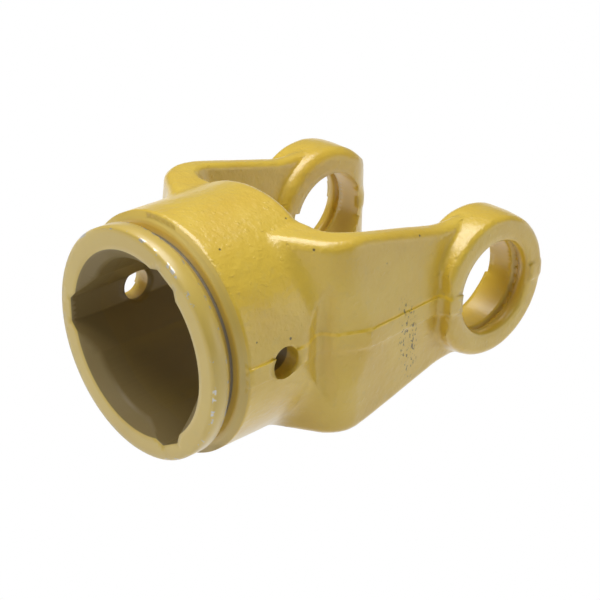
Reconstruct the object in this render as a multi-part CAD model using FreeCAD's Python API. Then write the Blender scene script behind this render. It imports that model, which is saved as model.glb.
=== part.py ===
"""Forged yoke of a drive-shaft universal joint, for a three-lobed telescopic tube.

One steel drop forging: a hub that takes the tube, and a fork whose two ears hold
the bearing cups of the joint cross.  Millimetres, +Z up.

The origin is the centre of the joint, where the hub axis (X) meets the axis of
the ear bores (Y).  The hub opens towards -X.  The dies part on the plane z = 0,
so every forged wall leans away from it and leaves along Z.
"""
import FreeCAD
import Part
import math
import os

V = FreeCAD.Vector

# --- joint cross and its seats in the ears ---------------------------------
cross_length = 70.0           # over the bearing cups, circlip seat to circlip seat
bore_radius = 13.5            # bearing cup
circlip_groove_width = 1.8
circlip_groove_depth = 0.9
circlip_lip = 3.5             # wall left outside the circlip groove
bore_mouth_chamfer = 0.6

# --- ears --------------------------------------------------------------------
ear_wall = 7.4                # radial wall around the bore
ear_thickness = 15.4          # along the bore
ear_taper = 0.8               # by which the ear narrows towards its outer face
ear_taper_length = 4.5
ear_outer_rounding = 2.2
ear_inner_rounding = 4.0
nose_outer_rounding = 3.2     # corners of the ear's free end, seen along Z
nose_inner_rounding = 12.0
ear_back_x = -18.4            # where the ear's outer half ends towards the hub
trim_slot_depth = 1.5         # flat left by the trim tool across each inner pad
trim_slot_half_height = 4.5

# --- arms --------------------------------------------------------------------
die_draft = 5.0               # degrees, on every forged wall
arm_outer_at_shoulder = 38.6  # |y| of the arm's outer face at the shoulder corner
arm_outer_at_ear = 35.6       # and at the bore axis
arm_inner = 27.2              # |y| of the arm's inner face
crown_step = 5.1              # how far the arms' top lies below the hub's, over the crotch
arm_height_at_neck = 20.3     # half height where the arm meets the ear
arm_slope_start = -47.0       # x where the arm starts to fall
arm_slope_end = -15.0         # x where it has reached the neck
arm_profile_rounding = 32.0
arm_edge_outer_rounding = 3.0
arm_edge_inner_rounding = 2.2
shoulder_rounding = 11.0
shoulder_lean = 60.0          # degrees between the shoulder flank and the hub axis
shoulder_corner_x = -56.6     # where flank and outer face would meet
crotch_x = -49.0
crotch_corner_rounding = 8.0
fork_blend = 6.0              # hollow fillet where the fork rises out of the hub

# --- hub ---------------------------------------------------------------------
hub_front_x = -94.2
hub_radius = 33.1             # forged skin
hub_end_x = -51.6
hub_end_rounding = 3.6
turned_off = 1.5              # off the radius, at the lip and land beside the guard groove
lip_width = 4.6
groove_back = 8.7             # back wall of the guard groove, from the front face
groove_depth = 3.4            # below the lip and land
groove_flat = 0.5
land_width = 1.2
lip_edge_chamfer = 0.5
waist_start_x = -64.8         # where the hub's sides start to dip towards the fork
waist_deepest_x = -57.9
waist_rise_x = -55.4          # top of the dip's steep side
waist_rise = 1.2              # how far that lies outside the hub
waist_end_x = -45.0           # where the dip runs out on the arm
waist_depth = 3.4
waist_rounding = 3.0
waist_axis_y = 100.0

# --- socket for the tube, and its cross pin -----------------------------------
lobe_radius = 22.5
notch_floor_radius = 27.2
notch_floor_half_width = 3.5
notch_flank = 45.0            # degrees, flank to notch centre line
notch_count = 3
first_notch = 0.0             # degrees from +Y towards +Z
notch_corner_rounding = 0.9
mouth_radius = 25.8
pin_hole_radius = 4.5
pin_hole_x = -71.7

# --- trimmed flash -------------------------------------------------------------
flash_half_height = 2.6
flash_proud = 0.45

circlip_clearance = 0.1
machined_radius = hub_radius - turned_off
groove_radius = machined_radius - groove_depth
arm_height_at_fork = hub_radius - crown_step
ear_outer = cross_length / 2 + circlip_clearance + circlip_groove_width + circlip_lip
ear_inner = ear_outer - ear_thickness
ear_radius = bore_radius + ear_wall
reach = 200.0                 # longer than the yoke, for cutting tools


def leaning_block(outline, height, lean):
    """Solid block on z = 0 over a polygon, its walls leaning inwards by `lean` degrees."""
    inset = height * math.tan(math.radians(lean))
    walls = []
    for (x0, y0), (x1, y1) in zip(outline, outline[1:] + outline[:1]):
        length = math.hypot(x1 - x0, y1 - y0)
        nx, ny = (y0 - y1) / length, (x1 - x0) / length
        walls.append((nx, ny, nx * x0 + ny * y0 + inset))
    base = [V(x, y, 0) for x, y in outline]
    top = []
    for (a1, b1, c1), (a2, b2, c2) in zip(walls[-1:] + walls[:-1], walls):
        det = a1 * b2 - a2 * b1
        top.append(V((c1 * b2 - c2 * b1) / det, (a1 * c2 - a2 * c1) / det, height))
    faces = [polygon_face(base[::-1]), polygon_face(top)]
    for i in range(len(base)):
        faces.append(polygon_face([base[i - 1], base[i], top[i], top[i - 1]]))
    return Part.makeSolid(Part.makeShell(faces))


def polygon_face(points):
    return Part.Face(Part.makePolygon(points + points[:1]))


def turned(corners, axis):
    """Turn a closed profile a full circle about `axis` through the origin."""
    return Part.Face(rounded_profile(corners)).revolve(V(0, 0, 0), axis, 360)


def rounded_profile(corners):
    """Closed wire over (corner, radius) pairs, each corner rounded by its radius."""
    pieces = []
    for i, (corner, radius) in enumerate(corners):
        back = (corners[i - 1][0] - corner).normalize()
        ahead = (corners[(i + 1) % len(corners)][0] - corner).normalize()
        half_angle = back.getAngle(ahead) / 2
        setback = radius / math.tan(half_angle)
        middle = corner + (back + ahead).normalize() * (radius / math.sin(half_angle) - radius)
        pieces.append((corner + back * setback, middle, corner + ahead * setback))
    edges = []
    for (start, middle, end), following in zip(pieces, pieces[1:] + pieces[:1]):
        if start.distanceToPoint(end) > 0:
            edges.append(Part.Arc(start, middle, end).toShape())
        edges.append(Part.makeLine(end, following[0]))
    return Part.Wire(edges)


def mirrored(solid, normal):
    return solid.mirror(V(0, 0, 0), normal)


def rim_edges(solid, wanted):
    """Edges between an upward face and a side wall, where `wanted(point, outward)` holds."""
    found = []
    for edge in solid.Edges:
        faces = solid.ancestorsOfType(edge, Part.Face)
        if len(faces) != 2:
            continue
        middle = edge.valueAt((edge.FirstParameter + edge.LastParameter) / 2)
        normals = []
        for face in faces:
            u, v = face.Surface.parameter(middle)
            normals.append(face.normalAt(u, v))
        normals.sort(key=lambda n: n.z)
        wall, upper = normals
        if upper.z > 0.85 and abs(wall.z) < 0.3 and wanted(middle, wall):
            found.append(edge)
    return found


def flank_x(y):
    """x of the fork's back flank on the parting plane."""
    return shoulder_corner_x - (arm_outer_at_shoulder - y) / math.tan(math.radians(shoulder_lean))


def fork_half():
    """Upper half of the two arms and the bridge that joins them behind the crotch."""
    buried = 0.4 * hub_radius
    arm_end_x = 0.15 * ear_radius
    far_side = [
        (crotch_x, arm_inner),
        (arm_end_x, arm_inner),
        (arm_end_x, arm_outer_at_ear),
        (shoulder_corner_x, arm_outer_at_shoulder),
        (flank_x(buried), buried),
    ]
    near_side = [(x, -y) for x, y in reversed(far_side)]
    block = leaning_block(near_side + far_side, arm_height_at_fork + 3, die_draft)
    for x, radius in ((shoulder_corner_x, shoulder_rounding), (crotch_x, crotch_corner_rounding)):
        block = block.makeFillet(radius, [e for e in block.Edges if upright_at(e, x)])
    block = block.cut(space_above_arms())
    outer = rim_edges(block, lambda p, n: abs(p.y) > buried and n.x < 0.5 and n.y * p.y > 0)
    block = block.makeFillet(arm_edge_outer_rounding, outer)
    inner = rim_edges(block, lambda p, n: p.x < arm_end_x - 1 and (n.y * p.y < 0 or n.x > 0.5))
    return block.makeFillet(arm_edge_inner_rounding, inner)


def hollow_edges(solid, wanted):
    """Edges where two walls meet in an inner corner, where `wanted(point)` holds."""
    found = []
    for edge in solid.Edges:
        faces = solid.ancestorsOfType(edge, Part.Face)
        middle = edge.valueAt((edge.FirstParameter + edge.LastParameter) / 2)
        if len(faces) != 2 or not wanted(middle):
            continue
        first, second = [f.normalAt(*f.Surface.parameter(middle)) for f in faces]
        across = second - first
        if across.Length > 0.2 and solid.isInside(middle + across * (0.05 / across.Length), 1e-6, False):
            found.append(edge)
    return found


def upright_at(edge, x):
    ends = sorted((v.Point for v in edge.Vertexes), key=lambda p: p.z)
    return len(ends) == 2 and abs(ends[0].z) < 0.01 and ends[1].z > 1 and abs(ends[0].x - x) < 0.01


def space_above_arms():
    """Everything above the arms' top line, as seen from the side."""
    side = -reach / 2
    line = [
        V(-reach, side, arm_height_at_fork),
        V(arm_slope_start, side, arm_height_at_fork),
        V(arm_slope_end, side, arm_height_at_neck),
        V(reach, side, arm_height_at_neck),
    ]
    space = polygon_face(line + [V(reach, side, reach), V(-reach, side, reach)])
    space = space.extrude(V(0, reach, 0))
    bends = []
    for edge in space.Edges:
        x = edge.CenterOfMass.x
        if min(abs(x - arm_slope_start), abs(x - arm_slope_end)) < 0.01:
            bends.append(edge)
    return space.makeFillet(arm_profile_rounding, bends)


def ear():
    """Head of one arm at +Y, before boring."""
    head = turned([
        (V(0, ear_inner, 0), 0),
        (V(0, ear_inner, ear_radius), ear_inner_rounding),
        (V(0, ear_outer - ear_taper_length, ear_radius), 0),
        (V(0, ear_outer, ear_radius - ear_taper), ear_outer_rounding),
        (V(0, ear_outer, 0), 0),
    ], V(0, 1, 0))
    nose = Part.makeBox(2 * ear_radius, ear_thickness, 2 * reach, V(-ear_radius, ear_inner, -reach))
    for radius, y in ((nose_outer_rounding, ear_outer), (nose_inner_rounding, ear_inner)):
        edges = []
        for edge in nose.Edges:
            middle = edge.CenterOfMass
            if abs(middle.x - ear_radius) < 0.01 and abs(middle.y - y) < 0.01 and abs(middle.z) < 1:
                edges.append(edge)
        nose = nose.makeFillet(radius, edges)
    back = Part.makeBox(reach, reach, 2 * reach, V(ear_back_x - reach, arm_outer_at_ear, -reach))
    return head.common(nose).cut(back)


def hub():
    """Turned and forged outside of the hub, still solid."""
    x = hub_front_x
    back = x + groove_back
    land_end = back + land_width
    return turned([
        (V(x, 0, 0), 0),
        (V(x, 0, machined_radius - lip_edge_chamfer), 0),
        (V(x + lip_edge_chamfer, 0, machined_radius), 0),
        (V(x + lip_width, 0, machined_radius), 0),
        (V(back - groove_flat, 0, groove_radius), 0),
        (V(back, 0, groove_radius), 0),
        (V(back, 0, machined_radius), 0),
        (V(land_end, 0, machined_radius), 0),
        (V(land_end, 0, hub_radius), 0),
        (V(hub_end_x, 0, hub_radius), hub_end_rounding),
        (V(hub_end_x, 0, 0), 0),
    ], V(1, 0, 0))


def waist_cutter():
    """Dip in the side of the hub at +Y, just before the fork's flank rises.

    It is turned about a far axis along X, so it fades out above and below the flash line.
    """
    floor = waist_axis_y - hub_radius + waist_depth
    skin = waist_axis_y - hub_radius
    clear = skin - 2 * waist_depth
    cutter = turned([
        (V(waist_start_x, 0, clear), 0),
        (V(waist_start_x, 0, skin), 0),
        (V(waist_deepest_x, 0, floor), waist_rounding),
        (V(waist_rise_x, 0, skin - waist_rise), waist_rounding),
        (V(waist_end_x, 0, waist_axis_y - arm_outer_at_shoulder), 0),
        (V(waist_end_x, 0, clear), 0),
    ], V(1, 0, 0))
    cutter.translate(V(0, waist_axis_y, 0))
    return cutter


def socket():
    """Three-lobed hole for the tube, with its mouth chamfer."""
    start = hub_front_x - 1
    length = crotch_x - start + 5
    hole = Part.makeCylinder(lobe_radius, length, V(start, 0, 0), V(1, 0, 0))
    run = notch_floor_radius - lobe_radius * math.cos(math.radians(35))
    foot = notch_floor_radius - run
    width = notch_floor_half_width + run * math.tan(math.radians(notch_flank))
    for i in range(notch_count):
        notch = polygon_face([
            V(start, notch_floor_radius, -notch_floor_half_width),
            V(start, foot, -width),
            V(start, foot, width),
            V(start, notch_floor_radius, notch_floor_half_width),
        ]).extrude(V(length, 0, 0))
        notch.rotate(V(0, 0, 0), V(1, 0, 0), first_notch + i * 360 / notch_count)
        hole = hole.fuse(notch)
    hole = hole.removeSplitter()
    hole = hole.makeFillet(notch_corner_rounding, [e for e in hole.Edges if runs_along_x(e, length)])
    depth = mouth_radius - lobe_radius
    mouth = Part.makeCone(mouth_radius + 1, lobe_radius, depth + 1, V(start, 0, 0), V(1, 0, 0))
    return hole.fuse(mouth)


def runs_along_x(edge, length):
    box = edge.BoundBox
    return abs(box.XLength - length) < 0.01 and box.YLength + box.ZLength < 0.01


def ear_bore():
    """Bearing seat of the ear at +Y, with circlip groove and mouth chamfers."""
    groove_out = ear_outer - circlip_lip
    groove_in = groove_out - circlip_groove_width
    deep = bore_radius + circlip_groove_depth
    wide = bore_radius + bore_mouth_chamfer
    return turned([
        (V(0, 0, 0), 0),
        (V(0, 0, bore_radius), 0),
        (V(0, groove_in, bore_radius), 0),
        (V(0, groove_in, deep), 0),
        (V(0, groove_out, deep), 0),
        (V(0, groove_out, bore_radius), 0),
        (V(0, ear_outer - bore_mouth_chamfer, bore_radius), 0),
        (V(0, ear_outer, wide), 0),
        (V(0, ear_outer + circlip_lip, wide), 0),
        (V(0, ear_outer + circlip_lip, 0), 0),
    ], V(0, 1, 0))


def pin_hole():
    return Part.makeCylinder(pin_hole_radius, reach, V(pin_hole_x, -reach / 2, 0), V(0, 1, 0))


def trim_slot():
    """Flat left across the ear's inner pad where the flash was trimmed off."""
    depth = ear_inner + trim_slot_depth
    start = V(crotch_x + crotch_corner_rounding, 0, -trim_slot_half_height)
    return Part.makeBox(reach, depth, 2 * trim_slot_half_height, start)


def plain_curve(edge):
    """The edge itself, or a spline in place of an offset curve, which STEP can't hold."""
    if not isinstance(edge.Curve, Part.OffsetCurve):
        return edge
    spline = Part.BSplineCurve()
    spline.interpolate(edge.discretize(7))
    return spline.toShape()


def flash_land(yoke):
    """Low band that trimming leaves where the dies part, round the outside of the yoke."""
    section = yoke.slice(V(0, 0, 1), flash_half_height / 2)
    outline = Part.Face(max(section, key=lambda wire: wire.Length))
    edge_curves = [plain_curve(edge) for edge in outline.makeOffset2D(flash_proud).OuterWire.OrderedEdges]
    band = Part.Face(Part.Wire(edge_curves)).extrude(V(0, 0, 2 * flash_half_height))
    band.translate(V(0, 0, -3 * flash_half_height / 2))
    machined_end = hub_front_x + groove_back + land_width
    machined = Part.makeBox(reach, 2 * reach, 2 * reach, V(machined_end - reach, -reach, -reach))
    between_arms = Part.makeBox(reach, 2 * ear_inner, 2 * reach, V(crotch_x - flash_proud, -ear_inner, -reach))
    return band.cut([machined, between_arms])


def upper_die_half():
    """What the upper die shapes: hub, fork and ears above the parting plane, blended."""
    above = Part.makeBox(2 * reach, 2 * reach, reach, V(-reach, -reach, 0))
    half = hub().common(above).fuse(fork_half())
    roots = hollow_edges(half, lambda p: p.z > 0.1 and waist_start_x < p.x < hub_end_x)
    half = half.makeFillet(fork_blend, roots)
    head = ear().common(above)
    return half.fuse([head, mirrored(head, V(0, 1, 0))])


def forged_yoke():
    half = upper_die_half()
    yoke = half.fuse(mirrored(half, V(0, 0, 1)))
    waist = waist_cutter()
    yoke = yoke.cut([waist, mirrored(waist, V(0, 1, 0))])
    yoke = yoke.fuse(flash_land(yoke))
    tools = [socket(), pin_hole()]
    for tool in (ear_bore(), trim_slot()):
        tools += [tool, mirrored(tool, V(0, 1, 0))]
    return yoke.cut(tools).removeSplitter()


os.makedirs("parts", exist_ok=True)
forged_yoke().exportStep("parts/yoke.step")
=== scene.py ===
"""Painted forged yoke of a drive-shaft joint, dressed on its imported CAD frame.  Metres, +Z up."""
import math

import bmesh
import bpy
import numpy as np
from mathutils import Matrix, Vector, kdtree, noise


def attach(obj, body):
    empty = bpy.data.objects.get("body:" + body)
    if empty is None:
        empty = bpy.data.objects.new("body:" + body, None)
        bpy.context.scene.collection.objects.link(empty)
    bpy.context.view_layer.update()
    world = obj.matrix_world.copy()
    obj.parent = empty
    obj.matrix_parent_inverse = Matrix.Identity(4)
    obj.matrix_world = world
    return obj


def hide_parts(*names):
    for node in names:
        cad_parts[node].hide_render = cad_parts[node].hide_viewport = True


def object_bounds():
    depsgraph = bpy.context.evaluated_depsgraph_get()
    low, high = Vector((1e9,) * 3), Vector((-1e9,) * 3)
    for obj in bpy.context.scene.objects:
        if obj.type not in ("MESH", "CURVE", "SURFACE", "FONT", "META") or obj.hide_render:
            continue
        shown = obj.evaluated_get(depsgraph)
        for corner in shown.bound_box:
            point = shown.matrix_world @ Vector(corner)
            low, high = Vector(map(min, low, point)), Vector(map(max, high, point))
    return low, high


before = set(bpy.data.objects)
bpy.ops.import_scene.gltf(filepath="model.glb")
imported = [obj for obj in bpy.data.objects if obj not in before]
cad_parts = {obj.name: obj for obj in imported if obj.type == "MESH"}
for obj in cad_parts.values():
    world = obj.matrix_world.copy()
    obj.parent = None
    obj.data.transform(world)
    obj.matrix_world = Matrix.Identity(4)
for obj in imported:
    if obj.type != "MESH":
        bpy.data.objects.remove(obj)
cad_bounds = [list(corner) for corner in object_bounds()]
mm = 0.001

# --- The forging ---------------------------------------------------------------
# One steel drop forging: hub, arms and ears grow out of each other with soft,
# slightly uneven skin.  Only the front ring, groove, socket and bores are cut, and
# those stay exactly as they are in the CAD solid.
forging = bpy.data.objects.new("forged_skin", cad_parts["yoke"].data.copy())
bpy.context.scene.collection.objects.link(forging)

hub_front = -94.2
turned_end = -84.25
bore_edge = 14.7
socket_reach = 29.0
pin_hole_x = -71.7
pin_hole_edge = 4.7
crotch = -49.5
flash_half = 2.6
facet_length = 2.3
most_halvings = 7
crease_angle = math.radians(9)
crease_width = 1.7
ring_margin = 0.8
smoothing_rounds = 14
pull_in = 0.55
push_out = -0.50
flash_wander = 0.35
flash_fade = 2.4 * flash_half
drift_scale = 0.16
wobble_scale = 0.7
skin_wave = 0.10
swell_scale = 0.11
ripple_scale = 0.33
mean_swell = 0.6


def cut_by_machine(point):
    """Whether a point, in millimetres, lies on a turned, bored or drilled face."""
    from_hub_axis = math.hypot(point[1], point[2])
    from_bore_axis = math.hypot(point[0], point[2])
    in_pin_hole = math.hypot(point[0] - pin_hole_x, point[2]) < pin_hole_edge
    in_socket = point[0] < crotch and from_hub_axis < socket_reach
    return point[0] < turned_end or in_socket or in_pin_hole or from_bore_axis < bore_edge


skin = bmesh.new()
skin.from_mesh(forging.data)
bmesh.ops.remove_doubles(skin, verts=skin.verts, dist=1e-6)
bmesh.ops.triangulate(skin, faces=skin.faces)
for halving in range(most_halvings):
    long_edges = [e for e in skin.edges if e.calc_length() > facet_length * mm]
    if not long_edges:
        break
    bmesh.ops.subdivide_edges(skin, edges=long_edges, cuts=1)
    bmesh.ops.triangulate(skin, faces=[f for f in skin.faces if len(f.verts) > 3])

creases = []
for edge in skin.edges:
    if len(edge.link_faces) == 2 and edge.calc_face_angle(0) > crease_angle:
        for vert in edge.verts:
            if not cut_by_machine(vert.co / mm):
                creases.append(vert.co.copy())
crease_tree = kdtree.KDTree(len(creases))
for i, co in enumerate(creases):
    crease_tree.insert(co, i)
crease_tree.balance()

softness = np.zeros(len(skin.verts))
for i, vert in enumerate(skin.verts):
    place = vert.co / mm
    if cut_by_machine(place):
        continue
    distance = crease_tree.find(vert.co)[2] / mm
    softness[i] = max(0.0, 1.0 - distance / crease_width)
    if place[0] < turned_end + ring_margin:
        softness[i] = 0.0
skin.verts.index_update()
ends = np.array([[e.verts[0].index, e.verts[1].index] for e in skin.edges])
points = np.array([v.co[:] for v in skin.verts])
degree = np.bincount(ends.ravel(), minlength=len(points))
for turn in range(smoothing_rounds):
    total = np.zeros_like(points)
    np.add.at(total, ends[:, 0], points[ends[:, 1]])
    np.add.at(total, ends[:, 1], points[ends[:, 0]])
    average = total / degree[:, None]
    pull = pull_in if turn % 2 == 0 else push_out
    points += (average - points) * (softness * pull)[:, None]
for vert, place in zip(skin.verts, points):
    vert.co = place
skin.normal_update()
for vert in skin.verts:
    place = vert.co / mm
    if cut_by_machine(place) or place[0] < turned_end + ring_margin:
        continue
    near_flash = max(0.0, 1.0 - abs(place[2]) / flash_fade)
    drift = noise.noise(Vector((place[0] * drift_scale, place[1] * drift_scale, 3.0)))
    wobble = noise.noise(Vector((place[0] * wobble_scale, place[1] * wobble_scale, 9.0)))
    vert.co.z += near_flash * flash_wander * (drift + 0.5 * wobble) * mm
    ripple = noise.noise(place * ripple_scale + Vector((7, 0, 0)))
    swell = noise.noise(place * swell_scale) + 0.35 * ripple
    vert.co += vert.normal * (skin_wave * (swell - mean_swell) * mm)
skin.to_mesh(forging.data)
skin.free()
forging.data.shade_smooth()
forging.data.set_sharp_from_angle(angle=math.radians(32))


# The paint is one coat of ochre enamel, sprayed over scale and turned faces alike.
# It is glossy over an orange-peel skin, and has chipped to bare steel along the
# edges of the front ring.
class Finish:
    """A number, colour or vector of a material, written as an expression."""

    def __init__(self, tree, socket):
        self.tree = tree
        self.socket = socket

    def node(self, kind, settings=None, out=0, **values):
        made = self.tree.nodes.new(kind)
        for name, value in (settings or {}).items():
            setattr(made, name, value)
        for name, value in values.items():
            key = int(name[3:]) if name.startswith("at_") else name.replace("_", " ")
            if isinstance(value, Finish):
                self.tree.links.new(value.socket, made.inputs[key])
            else:
                made.inputs[key].default_value = value
        return Finish(self.tree, made.outputs[out])

    def maths(self, operation, *values):
        inputs = {f"at_{i}": value for i, value in enumerate(values)}
        return self.node("ShaderNodeMath", {"operation": operation}, **inputs)

    def __add__(self, other):
        return self.maths("ADD", self, other)

    def __radd__(self, other):
        return self.maths("ADD", other, self)

    def __sub__(self, other):
        return self.maths("SUBTRACT", self, other)

    def __rsub__(self, other):
        return self.maths("SUBTRACT", other, self)

    def __mul__(self, other):
        return self.maths("MULTIPLY", self, other)

    def __rmul__(self, other):
        return self.maths("MULTIPLY", other, self)

    def __truediv__(self, other):
        return self.maths("DIVIDE", self, other)

    def size(self):
        return self.maths("ABSOLUTE", self)

    def root(self):
        return self.maths("SQRT", self)

    def most(self, *others):
        """The largest of this and the others."""
        result = self
        for other in others:
            result = self.maths("MAXIMUM", result, other)
        return result

    def ramp(self, low, high):
        """0 below `low`, 1 above `high`, smooth between."""
        return self.node(
            "ShaderNodeMapRange", {"interpolation_type": "SMOOTHSTEP"},
            Value=self, From_Min=low, From_Max=high,
        )

    def scaled(self, x, y, z):
        return self.node(
            "ShaderNodeVectorMath", {"operation": "MULTIPLY"}, at_0=self, at_1=(x, y, z),
        )

    def grain(self, scale, detail=2.0, roughness=0.5):
        """Noise about 0.5, `scale` cycles per unit of this place."""
        return self.node(
            "ShaderNodeTexNoise", Vector=self, Scale=scale, Detail=detail, Roughness=roughness,
        )

    def mixed(self, other, amount):
        """This colour going to `other` as `amount` goes from 0 to 1."""
        return self.node(
            "ShaderNodeMix", {"data_type": "RGBA"}, out=2, at_0=amount, at_6=self, at_7=other,
        )

    def flat(self, colour):
        return self.node(
            "ShaderNodeMix", {"data_type": "RGBA"}, out=2, at_0=0.0, at_6=colour, at_7=colour,
        )


enamel = bpy.data.materials.new("ochre_enamel")
enamel.use_nodes = True
tree = enamel.node_tree
surface = tree.nodes["Principled BSDF"]
coordinates = tree.nodes.new("ShaderNodeTexCoord")
place = Finish(tree, coordinates.outputs["Object"]).scaled(1000, 1000, 1000)
axes = tree.nodes.new("ShaderNodeSeparateXYZ")
tree.links.new(place.socket, axes.inputs[0])
x, y, z = (Finish(tree, axes.outputs[i]) for i in range(3))
from_hub_axis = (y * y + z * z).root()
from_bore_axis = (x * x + z * z).root()

turned_front = 1 - x.ramp(turned_end - 0.1, turned_end + 0.1)
in_socket = (1 - from_hub_axis.ramp(28.2, 28.8)) * (1 - x.ramp(-51.0, -50.0))
in_socket = in_socket * x.ramp(hub_front + 0.05, hub_front + 0.25)
in_bore = (1 - from_bore_axis.ramp(14.3, 14.6)) * y.size().ramp(20.0, 21.0)
machined = turned_front.most(in_socket, in_bore)
forged = 1 - machined

# Skin: peel from the spray, coarser lumps and a few pimples from scale.
peel = place.grain(0.95, 2.0, 0.55)
lumps = place.grain(0.33, 2.0, 0.5)
pimples = place.grain(0.62, 0.0).ramp(0.70, 0.80)
turning = place.scaled(3.2, 0.12, 0.12).grain(1.0, 1.0) * turned_front

# Pits: one eroded patch on the side of one arm, and single specks over the whole skin.
patch_x = (x + 32.0 + z * 0.18) / 4.2
patch_z = (z + 6.5) / 14.0
patch = 1 - (patch_x * patch_x + patch_z * patch_z).ramp(0.35, 1.15)
patch = patch * (1 - y.ramp(-34.0, -33.0))
pit_field = place.scaled(1.0, 1.0, 0.55).grain(1.25, 3.0, 0.62)
pits = patch * pit_field.ramp(0.56, 0.62)
speck_cells = place.node(
    "ShaderNodeTexVoronoi", {"feature": "F1"}, Vector=place, Scale=0.11, Randomness=1.0,
)
specks = (1 - speck_cells.ramp(0.025, 0.050)) * forged

height = (peel - 0.5) * 0.13 * forged + (lumps - 0.5) * 0.34 * forged
height = height + pimples * 0.07 * forged + (turning - 0.5) * 0.008 * turned_front
height = height - pits * 0.16 - specks * 0.22

# Flash: the trimmed line is a faint ragged ridge, with a painted highlight in brighter gold along
# its top.
line_wander = (place.scaled(1.0, 1.0, 0.0).grain(0.32, 2.0) - 0.5) * 0.8
on_line = 1 - (z - flash_half - line_wander * 0.5).size().ramp(0.15, 0.75)
outer_side = y.size().ramp(28.0, 28.6) * (1 - x.ramp(-18.5, -17.5)) * forged
flash_line = on_line * outer_side
height = height + flash_line * 0.03

# Colour: ochre with a deeper mottle and a dusty bloom in patches.
ochre = (0.80, 0.555, 0.052, 1)
deep_ochre = (0.70, 0.43, 0.020, 1)
flash_top_painted_highlight = (0.92, 0.62, 0.02, 1)
dusty = (0.62, 0.47, 0.13, 1)
steel = (0.56, 0.55, 0.53, 1)
scale_brown = (0.10, 0.065, 0.020, 1)
socket_shade_and_dirt = (0.17, 0.12, 0.05, 1)
mottle = place.grain(0.06, 3.0)
paint = place.flat(ochre).mixed(deep_ochre, mottle.ramp(0.35, 0.75) * 0.5)
paint = paint.mixed(dusty, place.grain(0.35, 4.0, 0.6).ramp(0.52, 0.75) * 0.20)
# Painted highlight: brighter gold along the top edge of the flash ridge, where it faces up to the
# light.
paint = paint.mixed(flash_top_painted_highlight, flash_line * 0.9)
paint = paint.mixed(dusty, turned_front * 0.55)
# Inside the socket the paint goes dark brown: painted shade in the recess, plus some dirt.
paint = paint.mixed(socket_shade_and_dirt, in_socket * 0.85)
paint = paint.mixed(scale_brown, pits * 0.75)
paint = paint.mixed(scale_brown, specks * 0.8)

# Chips: bare steel along the sharp edges of the front ring and its groove.
ring_edge = 1 - (from_hub_axis - 31.4).size().ramp(0.25, 0.75)
front_edge = ring_edge * (1 - (x - hub_front).size().ramp(0.4, 1.0))
groove_lip = ring_edge * (1 - (x - (hub_front + 4.6)).size().ramp(0.15, 0.5))
chip_field = place.grain(0.42, 4.0, 0.65)
chips = (front_edge * chip_field.ramp(0.56, 0.60)).most(groove_lip * chip_field.ramp(0.53, 0.57))
groove_floor = (1 - (from_hub_axis - 28.35).size().ramp(0.1, 0.4)) * turned_front
rubbed = groove_floor * (1 - (x - (hub_front + 8.2)).size().ramp(0.3, 0.7)) * 0.7
bare = chips.most(rubbed)
paint = paint.mixed(steel, bare)

tree.links.new(paint.socket, surface.inputs["Base Color"])
gloss = 0.34 + (lumps - 0.5) * 0.12 + in_socket * 0.18 + turned_front * 0.10 + pits * 0.3
tree.links.new(gloss.socket, surface.inputs["Roughness"])
tree.links.new((bare * 0.9).socket, surface.inputs["Metallic"])
relief = place.node("ShaderNodeBump", Height=height, Distance=mm, Strength=1.0)
tree.links.new(relief.socket, surface.inputs["Normal"])
surface.inputs["IOR"].default_value = 1.55
coat = 0.85 - in_socket * 0.65
tree.links.new(coat.socket, surface.inputs["Coat Weight"])
surface.inputs["Coat Roughness"].default_value = 0.30

forging.data.materials.clear()
forging.data.materials.append(enamel)
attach(forging, "root")
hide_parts("yoke")

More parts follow.
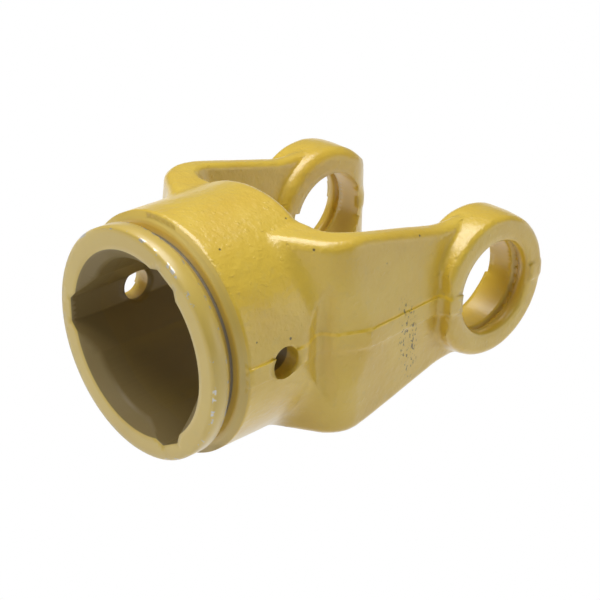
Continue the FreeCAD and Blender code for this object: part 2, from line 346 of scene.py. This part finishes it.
# --- Floor ------------------------------------------------------------------------
# A plain white sweep under the yoke.  The camera and reflections see it as flat
# white, so the yoke's shadow on it does not show.  For other rays it is matte.
low = cad_bounds[0]
bpy.ops.mesh.primitive_plane_add(size=6, location=(0, 0, low[2] - 0.0005))
floor = bpy.context.object
floor.name = "floor"
sheet = bpy.data.materials.new("white_sweep")
sheet.use_nodes = True
tree = sheet.node_tree
out = tree.nodes["Material Output"]
matte = tree.nodes["Principled BSDF"]
matte.inputs["Base Color"].default_value = (0.9, 0.9, 0.9, 1)
matte.inputs["Roughness"].default_value = 0.9
path = tree.nodes.new("ShaderNodeLightPath")
camera_ray = Finish(tree, path.outputs["Is Camera Ray"])
other_rays = [Finish(tree, path.outputs[name]) for name in ("Is Glossy Ray", "Is Transmission Ray")]
seen = camera_ray.most(*other_rays)
white = seen.node("ShaderNodeEmission", Color=(1, 1, 1, 1), Strength=1.0)
shown = tree.nodes.new("ShaderNodeMixShader")
tree.links.new(seen.socket, shown.inputs[0])
tree.links.new(matte.outputs[0], shown.inputs[1])
tree.links.new(white.socket, shown.inputs[2])
tree.links.new(shown.outputs[0], out.inputs["Surface"])
floor.data.materials.append(sheet)

# --- Light ------------------------------------------------------------------------
# Soft studio light: a broad panel overhead, weaker ones at the sides, and a pale room.
world = bpy.data.worlds.new("pale_room")
bpy.context.scene.world = world
world.use_nodes = True
tree = world.node_tree
background = tree.nodes["Background"]
path = tree.nodes.new("ShaderNodeLightPath")
camera_ray = Finish(tree, path.outputs["Is Camera Ray"])
room = camera_ray * 0.80 + 0.20
tree.links.new(room.socket, background.inputs["Strength"])
background.inputs["Color"].default_value = (1, 1, 1, 1)


def panel(name, place, target, width, height, power):
    lamp = bpy.data.lights.new(name, "AREA")
    lamp.shape = "RECTANGLE"
    lamp.size = width
    lamp.size_y = height
    lamp.energy = power
    holder = bpy.data.objects.new(name, lamp)
    bpy.context.scene.collection.objects.link(holder)
    holder.location = place
    holder.rotation_euler = (Vector(target) - Vector(place)).to_track_quat("-Z", "Y").to_euler()


middle = (-0.035, 0, 0)
panel("overhead", (-0.08, 0.10, 0.55), middle, 0.50, 0.40, 3.0)
panel("side_panel", (0.45, -0.55, 0.12), middle, 0.40, 0.30, 0.45)
panel("front_panel", (-0.60, 0.05, 0.25), middle, 0.35, 0.35, 0.35)

# --- Camera -------------------------------------------------------------------------
# A long lens from the socket side, above and to the left of the near arm.
lens = bpy.data.cameras.new("camera")
lens.sensor_width = 36
lens.lens = 99.77
lens.clip_start = 0.01
camera = bpy.data.objects.new("camera", lens)
camera.location = (-0.32083, -0.30116, 0.20279)
camera.rotation_euler = [math.radians(a) for a in (63.186, -0.507, -43.161)]
bpy.context.scene.collection.objects.link(camera)
bpy.context.scene.camera = camera
bpy.context.scene.view_settings.view_transform = "Standard"
